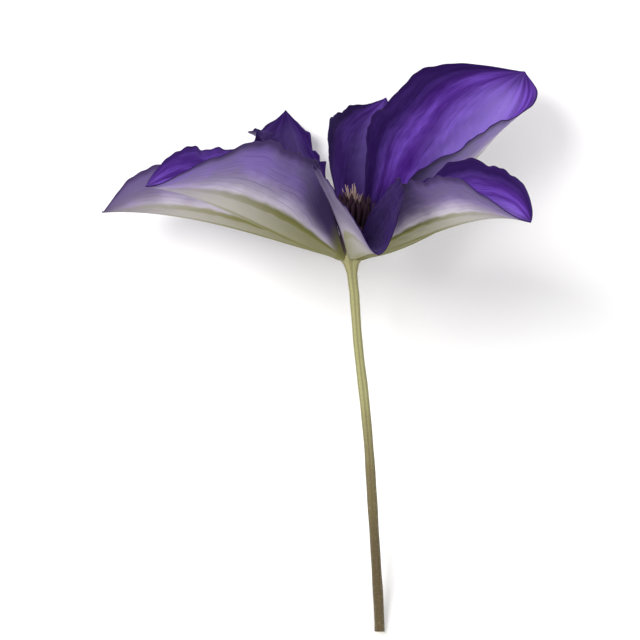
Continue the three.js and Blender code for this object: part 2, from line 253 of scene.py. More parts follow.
class TepalSettings(PropertyGroup):
    thickness: length("Thickness", "Thickness of a tepal along its midrib", 0.42 * MM)
    margin_thickness: length("Margin thickness", "Thickness of a tepal at its margin", 0.24 * MM)
    rib_height: length("Midrib height", "How far the midrib stands out of the outer face", 0.42 * MM)
    ripple: length("Margin ripple", "Height of the finest ripples of the margins", 0.16 * MM)
    pucker: length("Pucker", "Height of the soft dimples all over a tepal", 0.13 * MM)
    inner: colour("Inner face", "Velvety inner face", "#451a78")
    inner_bright: colour("Inner light streaks", "Where the inner face catches the light", "#754dba")
    inner_bar: colour("Inner bar", "Pale bar along the midrib of the inner face", "#8c73c4")
    # Painted shade on the deep tepals, at the foot and on the margins' half behind, and the tepals' own
    # darker tip, margins and veins:
    inner_deep_and_shade: colour("Inner shade", "Foot and margins of the inner face", "#190838")
    margin: colour("Margin", "The thin dark line of the margin", "#25123f")
    outer: colour("Outer face", "Lilac outer face", "#8d76bb")
    outer_grey: colour("Outer face, grey", "Greyer lilac patches of the outer face", "#857998")
    outer_deep: colour("Outer margin", "Violet margins and veins of the outer face", "#563f8a")
    # Painted shade where the tepals crowd at the foot, and the outer face's own dark rim and tip:
    outer_shade_and_rim: colour("Outer shade", "Dull purple sides of the outer face near its foot", "#33214d")
    # Painted shade that darkens and greys the outer faces of some tepals:
    outer_shade_grey: colour("Outer face, dull", "What greyed outer faces turn to", "#564a61")
    outer_band: colour("Pale band", "Pale band along the midrib of the outer face", "#d3cdd1")
    outer_rib: colour("Green ribs", "The three ribs of the outer face, and its foot", "#6d6c38")


class StalkSettings(PropertyGroup):
    top_radius: length("Radius at the top", "Radius of the stalk under the receptacle", 1.25 * MM)
    cut_radius: length("Radius at the cut", "Radius of the stalk at its cut end", 1.3 * MM)
    rib_depth: length("Rib depth", "Depth of the grooves between the stalk's ribs", 0.12 * MM)
    hair_length: length("Hair length", "Length of the stalk's down", 0.65 * MM)
    hairs: FloatProperty(name="Hairs per square metre", description="How densely the down stands",
                         default=3.2e6, min=0)
    pale: colour("Pale green", "Upper stalk", "#9f9d68")
    green: colour("Green", "Receptacle and the foot of the tepals", "#8d865d")
    brown: colour("Brown", "Middle stalk", "#6d6239")
    dark: colour("Dark brown", "Lower stalk and its grooves", "#4b3b15")
    pith: colour("Pith", "Pale pith in the cut end", "#d8d2b0")


class StamenSettings(PropertyGroup):
    count: IntProperty(name="Stamens", description="How many stamens", default=66, min=1)
    height: length("Height", "Height of the tallest stamens over the tepals' foot", 17.5 * MM)
    spread: length("Spread", "Radius of the brush of stamens at its top", 6.3 * MM)
    filament_radius: length("Filament radius", "Radius of a filament at its foot", 0.42 * MM)
    anther_radius: length("Anther radius", "Radius of an anther where it is widest", 0.6 * MM)
    filament: colour("Filament", "Plum-coloured filaments", "#54364a")
    filament_foot: colour("Filament foot", "Where the filaments leave the ring", "#75665a")
    anther: colour("Anther", "Dark maroon anthers", "#0d030a")
    anther_edge: colour("Anther tip", "Where the anthers are dusty", "#331b2a")
    styles: IntProperty(name="Styles", description="How many styles", default=38, min=1)
    style_height: length("Style height", "Height of the styles over the tepals' foot", 19 * MM)
    style_radius: length("Style radius", "Radius of a style at its foot", 0.4 * MM)
    style: colour("Style", "Silky styles", "#5b3c47")
    style_tip: colour("Style tip", "Paler tips of the styles", "#a58c82")


class StageSettings(PropertyGroup):
    floor: colour("Floor", "Pale matt surface", "#fbfaf8")
    lens: FloatProperty(name="Lens", description="Focal length in millimetres", default=600, min=20)
    width: length("Framed width", "How much of the surface the picture takes in", 166 * MM)


class ClematisSettings(PropertyGroup):
    tepal: PointerProperty(type=TepalSettings)
    stalk: PointerProperty(type=StalkSettings)
    stamen: PointerProperty(type=StamenSettings)
    stage: PointerProperty(type=StageSettings)


# ---- Small tools ----
def fill(tree, node, inputs):
    """Fills or links a node's inputs, given by name, or as a list for the first ones in use.

    A node that is given as a value is linked from its first output in use.
    """
    used = [socket for socket in node.inputs if socket.enabled]
    if isinstance(inputs, dict):
        used = [next(socket for socket in used if socket.name == name) for name in inputs]
        inputs = inputs.values()
    for socket, value in zip(used, inputs):
        if isinstance(value, bpy.types.Node):
            value = next(output for output in value.outputs if output.enabled)
        if isinstance(value, bpy.types.NodeSocket):
            tree.links.new(value, socket)
        else:
            socket.default_value = value


def add(tree, kind, inputs=(), stops=(), shape=(), **settings):
    """Adds a node, sets it, and fills or links its inputs.

    Colour stops and the points of a curve are given with the two ends first.
    """
    made = tree.nodes.new(kind)
    for name, value in settings.items():
        setattr(made, name, value)
    fill(tree, made, inputs)
    for index, (place, tint) in enumerate(stops):
        elements = made.color_ramp.elements
        stop = elements[index] if index < 2 else elements.new(place)
        stop.position = place
        stop.color = tint
    for index, spot in enumerate(shape):
        points = made.mapping.curves[0].points
        point = points[index] if index < 2 else points.new(*spot)
        point.location = spot
    if shape:
        made.mapping.update()
    return made


def new_material(name):
    """A node material with its principled shader, ready to be wired."""
    material = bpy.data.materials.new(name)
    material.use_nodes = True
    tree = material.node_tree
    return material, tree, tree.nodes["Principled BSDF"]


def new_object(name, mesh):
    piece = bpy.data.objects.new(name, mesh)
    bpy.context.scene.collection.objects.link(piece)
    return piece


def new_mesh(name, points, faces):
    mesh = bpy.data.meshes.new(name)
    mesh.from_pydata(points.tolist(), [], faces)
    mesh.update()
    mesh.shade_smooth()
    return mesh


def mark(mesh, label, *values):
    """Stores three values for each point of a mesh, as a vector that its materials read."""
    attribute = mesh.attributes.new(label, "FLOAT_VECTOR", "POINT")
    attribute.data.foreach_set("vector", np.stack(np.broadcast_arrays(*values), -1).ravel())


def to_frame(points):
    """Points of the flower's frame, as an array, in the part's frame."""
    turn = np.array(FLOWER_TO_FRAME)
    return points @ turn[:3, :3].T + turn[:3, 3]


def through(values, s):
    """The parabola through three values at 0, 1/2 and 1."""
    start, middle, end = values
    return start * (1 - s) * (1 - 2 * s) + middle * 4 * s * (1 - s) + end * s * (2 * s - 1)


def unit(vectors):
    return vectors / np.linalg.norm(vectors, axis=-1, keepdims=True)


def swing(turns):
    """A wave, at so many turns of it."""
    return np.sin(2 * math.pi * turns)


def outward(azimuth):
    return np.array([math.cos(azimuth), 0, math.sin(azimuth)])


def heading(azimuth, climb):
    return outward(azimuth) * math.cos(climb) + np.array([0, math.sin(climb), 0])


# ---- Shape of a tepal ----
def half_width(tepal, s):
    run = np.clip(s / tepal.widest, 0, 1)
    swell = CLAW_SHARE + (1 - CLAW_SHARE) * np.sin(math.pi / 2 * run) ** 0.95
    fade = 1 - np.clip((s - tepal.widest) / (1 - tepal.widest), 0, 1) ** tepal.taper
    root = np.sqrt(1 - (np.minimum(s, 0) / ROOT_STATION) ** 2)
    return np.maximum(swell * fade * root * tepal.width * MM / 2, TIP_HALF_WIDTH)


def midrib(tepal, s):
    """Points, directions and sideways directions along a tepal's midrib."""
    azimuth = math.radians(tepal.azimuth)
    foot = outward(azimuth) * TEPAL_FOOT[0] + np.array([0, TEPAL_FOOT[1], 0])
    tip = np.array(tepal.tip) * MM
    tip_azimuth = math.atan2(tip[2], tip[0])
    handle = HANDLE_SHARE * np.linalg.norm(tip - foot)
    leave = foot + handle * heading(azimuth, math.radians(tepal.rise[0]))
    arrive = tip - handle * heading(tip_azimuth, math.radians(tepal.rise[1]))
    a, b = 1 - s[:, None], s[:, None]
    points = a ** 3 * foot + 3 * a * a * b * leave + 3 * a * b * b * arrive + b ** 3 * tip
    ahead = unit(a * a * (leave - foot) + 2 * a * b * (arrive - leave) + b * b * (tip - arrive))
    up = np.array([0, 1, 0])
    side = a * np.cross(up, outward(azimuth)) + b * np.cross(up, outward(tip_azimuth))
    side = unit(side - (side * ahead).sum(1, keepdims=True) * ahead)
    return points, ahead, side


def folded(tepal, stations, shares, breadth):
    """How far the points of a blade lie sideways and inwards from its midrib, by its fold and curl."""
    crease = np.interp(stations, (0, 1), tepal.crease)[:, None, None] * MM
    steps = (np.arange(FOLD_STEPS) + 0.5) / FOLD_STEPS
    sideways = np.zeros((len(stations), len(shares)))
    inwards = np.zeros_like(sideways)
    for half, columns in ((tepal.behind, shares >= 0), (tepal.ahead, shares < 0)):
        share = np.abs(shares[columns])[None, :, None]
        reach = share * steps
        wide = (breadth * half.reach)[:, None, None]
        fold = np.radians(through(half.fold, stations))[:, None, None]
        slope = fold * (1 - np.exp(-reach * wide / crease)) - math.radians(half.curl) * reach ** 3
        run = wide * share / FOLD_STEPS
        sideways[:, columns] = (np.cos(slope) * run).sum(2)
        inwards[:, columns] = (np.sin(slope) * run).sum(2)
    return sideways, inwards


def waved(tepal, order, s, t, breadth, settings):
    """How far waves, crinkles, ripples and dimples lift a blade, and how torn margins change its width.

    All fade out at its foot and tip, and the phase makes each half of each tepal differ.
    """
    edge = np.abs(t)
    phase = np.where(t >= 0, 0, 0.5) + order * 0.37
    ends = np.sin(math.pi * np.clip(s, 0, 1)).clip(0) ** 0.6
    ends = ends * np.minimum(1, breadth[:, None] / (tepal.width * MM / 2) * 1.5)
    uneven = 1 + 0.6 * swing(2.3 * s + 2.9 * phase)
    dimples = swing(9 * s + 2 * t * t + phase) * swing(3.5 * t + 1.3 * s)
    dimples += 0.5 * swing(17 * s - 3 * edge + 2 * phase) * swing(6 * t - 2.1 * s)
    lift = tepal.wave * MM * edge ** 2.5 * swing(MARGIN_WAVES * s + phase)
    lift += tepal.crinkle * MM * edge ** 4 * swing(MARGIN_CRINKLES * s + 1.7 * phase)
    lift += settings.ripple * uneven * edge ** 7 * swing(MARGIN_RIPPLES * s + 2.3 * phase)
    lift += settings.pucker * dimples * np.minimum(1, 4 * edge)
    torn = swing(5.6 * s + phase) + 0.6 * swing(9.7 * s + 3 * phase) + 0.3 * swing(16.3 * s + 5 * phase)
    return lift * ends, 1 + tepal.ragged * edge ** 3 * ends * torn / 2


def middle_surface(tepal, order, stations, shares, settings):
    """The middle surface of a tepal in the part's frame, as a grid.

    With it come the half width at each station, and how far along the midrib the station is.
    """
    points, ahead, side = midrib(tepal, stations)
    inner = np.cross(ahead, side)
    roll = np.radians(np.interp(stations, (0, 1), tepal.roll))[:, None]
    rolled_side = side * np.cos(roll) + inner * np.sin(roll)
    rolled_inner = inner * np.cos(roll) - side * np.sin(roll)
    breadth = half_width(tepal, stations)
    sideways, inwards = folded(tepal, stations, shares, breadth)
    lift, torn = waved(tepal, order, stations[:, None], shares[None, :], breadth, settings)
    sideways *= np.sign(shares) * torn
    inwards += lift
    surface = (points[:, None] + rolled_side[:, None] * sideways[..., None]
               + rolled_inner[:, None] * inwards[..., None])
    lengths = np.linalg.norm(np.diff(points, axis=0), axis=1)
    return to_frame(surface), breadth, np.concatenate([[0], np.cumsum(lengths)])


def bend_up(surface, floor):
    """Bends what would be under the floor up to it, smoothly."""
    over = np.clip(surface[..., 2] - floor, -BEND_RANGE, BEND_RANGE)
    surface[..., 2] = np.maximum(surface[..., 2], floor + (over + BEND_RANGE) ** 2 / (4 * BEND_RANGE))
    return surface


def shell_faces(rows, columns):
    """Faces of a closed shell of two grids, inner then outer, and how many of them are the inner face."""
    count = rows * columns
    index = np.arange(count).reshape(rows, columns)
    a, b = index[:-1, :-1], index[1:, :-1]
    c, d = index[1:, 1:], index[:-1, 1:]
    inner = np.stack([a, b, c, d], -1).reshape(-1, 4)
    outer = np.stack([a, d, c, b], -1).reshape(-1, 4) + count
    rim = np.concatenate([index[0, :-1], index[:-1, -1], index[-1, :0:-1], index[:0:-1, 0]])
    onward = np.roll(rim, -1)
    wall = np.stack([rim, onward, onward + count, rim + count], -1)
    return np.concatenate([inner, wall, outer]).tolist(), len(inner) + len(wall)


def tepal_mesh(name, tepal, order, settings):
    stations = np.concatenate([np.linspace(ROOT_STATION, 0, ROOT_ROWS)[:-1], np.linspace(0, 1, ROWS)])
    half = np.linspace(0, 1, COLUMNS_A_HALF + 1) ** 1.2
    shares = np.concatenate([-half[:0:-1], half])
    surface, breadth, run = middle_surface(tepal, order, stations, shares, settings)
    surface = bend_up(surface, settings.thickness / 2)
    normal = unit(np.cross(np.gradient(surface, axis=0), np.gradient(surface, axis=1)))

    # The ribs stand out of the outer face, with a groove over each in the inner one.
    s, t = stations[:, None], shares[None, :]
    thickness = settings.thickness + (settings.margin_thickness - settings.thickness) * t ** 2
    ribs = np.zeros_like(s * t)
    for share, height in RIBS:
        beside = (t - share) * breadth[:, None] / RIB_HALF_WIDTH
        ribs += height * settings.rib_height * np.exp(-beside ** 2) * np.minimum(1, 3 * (1 - s))
    inner = surface + normal * (thickness / 2 - GROOVE_SHARE * ribs)[..., None]
    outer = surface - normal * (thickness / 2 + ribs)[..., None]
    points = np.concatenate([inner.reshape(-1, 3), outer.reshape(-1, 3)])
    points[:, 2] = points[:, 2].clip(0)
    faces, inner_count = shell_faces(len(stations), len(shares))
    mesh = new_mesh(name, points, faces)
    mesh.polygons.foreach_set("material_index", np.arange(len(faces)) >= inner_count)

    # What the skins read: the place on the blade with how far painted shade darkens that face, and the
    # place on the skin.
    face_shades = np.reshape([tepal.depth, tepal.dull], (2, 1, 1))
    mark(mesh, "blade", t, s, face_shades)
    mark(mesh, "span", t * tepal.width / 2 * MM, run[:, None], np.full(face_shades.shape, order * 0.1))
    return mesh


# ---- Finishes ----
# The nodes that are used most. MIX takes [share, first, second], and RANGE [value, from, to, result
# at from, result at to].
MATH = "ShaderNodeMath"
MIX = "ShaderNodeMix"
NOISE = "ShaderNodeTexNoise"
RANGE = "ShaderNodeMapRange"
RGBA = {"data_type": "RGBA"}
SMOOTH = {"interpolation_type": "SMOOTHSTEP"}


def blade_places(tree):
    """The place along, across and beside the midrib, the place on the skin, and how far painted shade
    darkens the face.
    """
    blade = add(tree, "ShaderNodeAttribute", attribute_name="blade").outputs["Vector"]
    span = add(tree, "ShaderNodeAttribute", attribute_name="span").outputs["Vector"]
    parts = add(tree, "ShaderNodeSeparateXYZ", [blade]).outputs
    edge = add(tree, MATH, [parts["X"]], operation="ABSOLUTE")
    return parts["Y"], parts["X"], edge, span, parts["Z"]


def grain_of(tree, place, scale, detail=3, low=0.35, high=0.65):
    """A soft noise, stretched by its scale, that runs from 0 to 1."""
    stretched = add(tree, "ShaderNodeMapping", {"Vector": place, "Scale": scale})
    noise = add(tree, NOISE, {"Vector": stretched, "Scale": 1, "Detail": detail})
    return add(tree, RANGE, [noise, low, high, 0, 1], **SMOOTH)


def side_veins(tree, along, edge, span):
    """Thin side veins that leave the ribs, fan out to the margins and fade on their way."""
    wander = grain_of(tree, span, (150, 45, 150), 2)
    fanned = add(tree, MATH, [along, -VEIN_FAN, edge], operation="MULTIPLY_ADD")
    lane = add(tree, MATH, [wander, 0.035, fanned], operation="MULTIPLY_ADD")
    lanes = add(tree, MATH, [lane, VEINS_A_HALF], operation="MULTIPLY")
    fold = add(tree, MATH, [lanes, 0.5], operation="PINGPONG")
    line = add(tree, RANGE, [fold, 0, 0.16, 1, 0], **SMOOTH)
    gaps = grain_of(tree, span, (700, 130, 700), 2, 0.3, 0.6)
    broken = add(tree, MATH, [line, gaps], operation="MULTIPLY")
    beyond = add(tree, RANGE, [edge, SIDE_RIB, 0.4, 0, 1], **SMOOTH)
    return add(tree, MATH, [broken, beyond], operation="MULTIPLY")


def quilted_bump(tree, span, vein, vein_height):
    """Relief of the skin: pillows of about 0.9 by 2 mm between the veins, under a fine grain."""
    cells = add(tree, "ShaderNodeMapping", {"Vector": span, "Scale": (1100, 500, 100)})
    quilt = add(tree, "ShaderNodeTexVoronoi", {"Vector": cells, "Scale": 1}, feature="SMOOTH_F1")
    fibres = grain_of(tree, span, (4500, 260, 100), 3, 0.2, 0.8)
    relief = add(tree, MATH, [fibres, 0.45], operation="MULTIPLY")
    relief = add(tree, MATH, [quilt, -0.7, relief], operation="MULTIPLY_ADD")
    relief = add(tree, MATH, [vein, vein_height, relief], operation="MULTIPLY_ADD")
    return add(tree, "ShaderNodeBump", {"Height": relief, "Strength": 0.42, "Distance": 0.12 * MM})


def tepal_inner_skin(settings):
    """Fresh tepal skin, inner face: velvety violet, silky along its fibres, paler along the midrib."""
    material, tree, shader = new_material("Fresh tepal skin, inner face")
    # depth is how far painted shade darkens this tepal's inner face.
    along, across, edge, span, depth = blade_places(tree)
    # Soft streaks that run with the veins, 3 mm by 25 mm, and fibres of 0.25 mm.
    streaks = grain_of(tree, span, (330, 40, 100), 3, 0.38, 0.7)
    fibres = grain_of(tree, span, (4000, 160, 100), 2, 0.3, 0.7)
    lit = add(tree, MATH, [streaks, 0.8], operation="MULTIPLY")
    lit = add(tree, MATH, [fibres, 0.2, lit], operation="MULTIPLY_ADD")
    # The bar along the midrib is narrow at the foot and widest beyond the middle.
    breadth = add(tree, RANGE, [along, 0.12, 0.6, 0.08, 0.4], **SMOOTH)
    near = add(tree, MATH, [edge, breadth], operation="DIVIDE")
    bar = add(tree, RANGE, [near, 0, 1.5, 1, 0], **SMOOTH)
    for start, end, first, last in ((0.2, 0.6, 0, 0.8), (0.84, 0.97, 1, 0.2)):
        fade = add(tree, RANGE, [along, start, end, first, last], **SMOOTH)
        bar = add(tree, MATH, [bar, fade], operation="MULTIPLY")
    # Painted shade darkens the deep ones all over, all of them at the foot, and the margins more on the
    # half behind; the tip, the margins and the veins are also darker in their own colour.
    leaning = add(tree, MATH, [across, 0.14, edge], operation="MULTIPLY_ADD")
    shade = depth
    for value, start, end, first, last in ((along, 0.08, 0.4, 0.95, 0), (along, 0.9, 1, 0, 0.6),
                                           (leaning, 0.6, 1, 0, 0.85)):
        part = add(tree, RANGE, [value, start, end, first, last], **SMOOTH)
        shade = add(tree, MATH, [shade, part], operation="MAXIMUM")
    vein = side_veins(tree, along, edge, span)
    faint = add(tree, MATH, [vein, 0.3], operation="MULTIPLY")
    margin = add(tree, RANGE, [edge, 0.95, 1, 0, 0.6], **SMOOTH)
    tint = settings.inner
    for share, over in (
            (lit, settings.inner_bright), (bar, settings.inner_bar), (shade, settings.inner_deep_and_shade),
            (faint, settings.inner_deep_and_shade), (margin, settings.margin)):
        tint = add(tree, MIX, [share, tint, over], **RGBA)
    # Velvet: hardly any gloss, and light that goes a little way into the skin.
    fill(tree, shader, {
        "Base Color": tint, "Normal": quilted_bump(tree, span, vein, -0.6), "Roughness": 0.68,
        "Specular IOR Level": 0.05, "Sheen Weight": 0.02, "Sheen Roughness": 0.4,
        "Sheen Tint": linear("#a58cf5"), "Subsurface Weight": 0.12, "Subsurface Radius": (0.5, 0.25, 1.0),
        "Subsurface Scale": 0.5 * MM})
    return material


def tepal_outer_skin(settings):
    """Fresh tepal skin, outer face: matt lilac, silvery along the midrib, with three green downy ribs."""
    material, tree, shader = new_material("Fresh tepal skin, outer face")
    # dull is how far painted shade darkens and greys this tepal's outer face.
    along, _, edge, span, dull = blade_places(tree)
    # Cloudy patches of greyer lilac, about 7 mm across, and fibres of 0.3 mm.
    clouds = grain_of(tree, span, (150, 90, 100), 3)
    fibres = grain_of(tree, span, (3300, 130, 100), 3, 0.3, 0.7)
    threads = add(tree, MATH, [fibres, 0.3], operation="MULTIPLY")
    # Violet towards the margins, and less so on the tepals with little painted shade.
    margin = add(tree, RANGE, [edge, 0.4, 1, 0, 0.9], **SMOOTH)
    duller = add(tree, RANGE, [dull, 0, 0.5, 0.6, 1], **SMOOTH)
    margin = add(tree, MATH, [margin, duller], operation="MULTIPLY")
    # The pale band fades out sideways, towards the tip, and on the tepals with the most painted shade.
    ragged = add(tree, MATH, [clouds, 0.08, edge], operation="MULTIPLY_ADD")
    band = add(tree, RANGE, [ragged, 0.16, 0.68, 1, 0], **SMOOTH)
    for value, start, end, first, last in ((along, 0.6, 1, 1, 0.15), (dull, 0.55, 0.85, 1, 0.45)):
        fade = add(tree, RANGE, [value, start, end, first, last], **SMOOTH)
        band = add(tree, MATH, [band, fade], operation="MULTIPLY")
    # Painted shade: where the tepals crowd at the foot, their sides are darkened to a dull purple.
    painted_shade_end = add(tree, MATH, [dull, 0.7, 0.35], operation="MULTIPLY_ADD")
    painted_foot_shade = add(tree, RANGE, [along, 0.2, painted_shade_end, 0.95, 0], **SMOOTH)
    sides = add(tree, RANGE, [edge, 0.24, 0.66, 0, 1], **SMOOTH)
    painted_foot_shade = add(tree, MATH, [painted_foot_shade, sides], operation="MULTIPLY")
    # The three ribs are green, the bar that they bound is greenish, and so is the whole foot.
    from_side = add(tree, MATH, [edge, SIDE_RIB], operation="SUBTRACT")
    from_side = add(tree, MATH, [from_side], operation="ABSOLUTE")
    nearest = add(tree, MATH, [edge, from_side], operation="MINIMUM")
    green = add(tree, RANGE, [along, 0.02, 0.13, 1, 0], **SMOOTH)
    for value, start, end, tip_start, tip_end, first, last in (
            (edge, 0.22, 0.34, 0.1, 0.85, 0.92, 0.42), (nearest, 0.02, 0.09, 0.3, 1, 1, 0.35)):
        beside = add(tree, RANGE, [value, start, end, 1, 0], **SMOOTH)
        fade = add(tree, RANGE, [along, tip_start, tip_end, first, last], **SMOOTH)
        part = add(tree, MATH, [beside, fade], operation="MULTIPLY")
        green = add(tree, MATH, [green, part], operation="MAXIMUM")
    vein = side_veins(tree, along, edge, span)
    faint = add(tree, MATH, [vein, 0.35], operation="MULTIPLY")
    rim = add(tree, RANGE, [edge, 0.84, 0.98, 0, 0.9], **SMOOTH)
    tip = add(tree, RANGE, [along, 0.93, 1, 0, 0.8], **SMOOTH)
    rim = add(tree, MATH, [rim, tip], operation="MAXIMUM")
    tint = settings.outer
    for share, over in (
            (clouds, settings.outer_grey), (threads, settings.outer_deep), (margin, settings.outer_deep),
            (dull, settings.outer_shade_grey), (band, settings.outer_band), (painted_foot_shade, settings.outer_shade_and_rim),
            (green, settings.outer_rib), (faint, settings.outer_deep), (rim, settings.outer_shade_and_rim)):
        tint = add(tree, MIX, [share, tint, over], **RGBA)
    # Matt, with the faint pale sheen of fine down.
    fill(tree, shader, {
        "Base Color": tint, "Normal": quilted_bump(tree, span, vein, 0.6), "Roughness": 0.62,
        "Specular IOR Level": 0.2, "Sheen Weight": 0.1, "Sheen Roughness": 0.5,
        "Sheen Tint": linear("#e9e4f2"), "Subsurface Weight": 0.12, "Subsurface Radius": (0.6, 0.4, 0.9),
        "Subsurface Scale": 0.5 * MM})
    return material


def stalk_bark(settings):
    """Young ribbed stem: pale green at the top, turning woody brown, with dark grooves and fibres."""
    material, tree, shader = new_material("Ribbed young stem")
    stem = add(tree, "ShaderNodeAttribute", attribute_name="stem").outputs["Vector"]
    parts = add(tree, "ShaderNodeSeparateXYZ", [stem]).outputs
    place = add(tree, "ShaderNodeTexCoord").outputs["Object"]
    mottle = add(tree, NOISE, {"Vector": place, "Scale": 180, "Detail": 3})
    shifted = add(tree, MATH, [mottle, 0.12, parts["Y"]], operation="MULTIPLY_ADD")
    down = add(tree, "ShaderNodeValToRGB", [shifted], stops=[
        (0.0, settings.green), (1.0, settings.dark), (0.14, settings.pale), (0.42, settings.pale),
        (0.62, settings.brown), (0.86, settings.dark)])
    # Fibres run along the stem, 0.15 mm apart.
    fibre_map = add(tree, "ShaderNodeMapping", {"Vector": place, "Scale": (6500, 350, 6500)})
    fibres = add(tree, NOISE, {"Vector": fibre_map, "Scale": 1, "Detail": 3})
    groove = add(tree, RANGE, [parts["X"], 0.35, 0.9, 0, 0.45], **SMOOTH)
    streak = add(tree, RANGE, [fibres, 0.45, 0.75, 0, 0.35])
    dark = add(tree, MATH, [groove, streak], operation="MAXIMUM")
    tint = add(tree, MIX, [dark, down, settings.dark], **RGBA)
    bump = add(tree, "ShaderNodeBump", {"Height": fibres, "Strength": 0.6, "Distance": 0.06 * MM})
    fill(tree, shader, {"Base Color": tint, "Normal": bump, "Roughness": 0.55})
    return material


def stalk_pith(settings):
    """Freshly cut stem: moist pale pith with green pores, 0.2 mm apart."""
    material, tree, shader = new_material("Cut stem pith")
    place = add(tree, "ShaderNodeTexCoord").outputs["Object"]
    pores = add(tree, "ShaderNodeTexVoronoi", {"Vector": place, "Scale": 5000})
    tint = add(tree, "ShaderNodeValToRGB", [pores], stops=[(0.0, settings.green), (0.35, settings.pith)])
    bump = add(tree, "ShaderNodeBump", {"Height": pores, "Strength": 0.5, "Distance": 0.05 * MM})
    fill(tree, shader, {"Base Color": tint, "Normal": bump, "Roughness": 0.4})
    return material


def grown_skin(name, foot, tip, roughness, grain):
    """A thin plant part that changes colour along its length, with a fine grain."""
    material, tree, shader = new_material(name)
    along = add(tree, "ShaderNodeAttribute", attribute_name="along").outputs["Fac"]
    place = add(tree, "ShaderNodeTexCoord").outputs["Object"]
    noise = add(tree, NOISE, {"Vector": place, "Scale": grain, "Detail": 3})
    shifted = add(tree, MATH, [noise, 0.3, along], operation="MULTIPLY_ADD")
    tint = add(tree, "ShaderNodeValToRGB", [shifted], stops=[(0.1, foot), (0.95, tip)])
    bump = add(tree, "ShaderNodeBump", {"Height": noise, "Strength": 0.4, "Distance": 0.05 * MM})
    fill(tree, shader, {
        "Base Color": tint, "Normal": bump, "Roughness": roughness, "Specular IOR Level": 0.2})
    return material


def floor_paper(settings):
    """Matt off-white paper, with a grain of about 1 mm that hardly shows."""
    material, tree, shader = new_material("Matt off-white paper")
    place = add(tree, "ShaderNodeTexCoord").outputs["Object"]
    noise = add(tree, NOISE, {"Vector": place, "Scale": 900, "Detail": 2})
    bump = add(tree, "ShaderNodeBump", {"Height": noise, "Strength": 0.1, "Distance": 0.05 * MM})
    fill(tree, shader, {"Base Color": settings.floor, "Normal": bump, "Roughness": 0.9})
    return material


# ---- Growing with Geometry Nodes ----
def new_tree(name, sockets):
    """An empty geometry tree with named inputs, given for each kind of socket, and its group inputs."""
    tree = bpy.data.node_groups.new(name, "GeometryNodeTree")
    tree.interface.new_socket("Geometry", in_out="INPUT", socket_type="NodeSocketGeometry")
    tree.interface.new_socket("Geometry", in_out="OUTPUT", socket_type="NodeSocketGeometry")
    for kind, labels in sockets.items():
        for label in labels:
            tree.interface.new_socket(label, in_out="INPUT", socket_type=f"NodeSocket{kind}")
    return tree, add(tree, "NodeGroupInput").outputs


def end_tree(tree, given, geometry):
    """Ends a geometry tree: makes its instances real, gives them the material and puts them out."""
    real = add(tree, "GeometryNodeRealizeInstances", [geometry])
    dyed = add(tree, "GeometryNodeSetMaterial", {"Geometry": real, "Material": given["Material"]})
    add(tree, "NodeGroupOutput", [dyed])
    return tree


def grow(name, tree, values, source):
    """Runs a geometry tree on a mesh and returns its result as a plain object."""
    piece = new_object(name, source)
    modifier = piece.modifiers.new("Grow", "NODES")
    modifier.node_group = tree
    for item in tree.interface.items_tree:
        if item.item_type == "SOCKET" and item.in_out == "INPUT" and item.name in values:
            modifier[item.identifier] = values[item.name]
    evaluated = piece.evaluated_get(bpy.context.evaluated_depsgraph_get())
    result = bpy.data.meshes.new_from_object(evaluated)
    # The tree's own primitives leave an empty material slot in front.
    while result.materials[0] is None:
        result.materials.pop(index=0)
    piece.modifiers.clear()
    piece.data = result
    result.name = name
    return piece


def grow_brush(name, tree, values):
    """Grows a brush of slender parts, and lays it down with the flower."""
    piece = grow(name, tree, values, bpy.data.meshes.new(name))
    piece.data.transform(FLOWER_TO_FRAME @ GROWN_TO_FLOWER)
    return piece


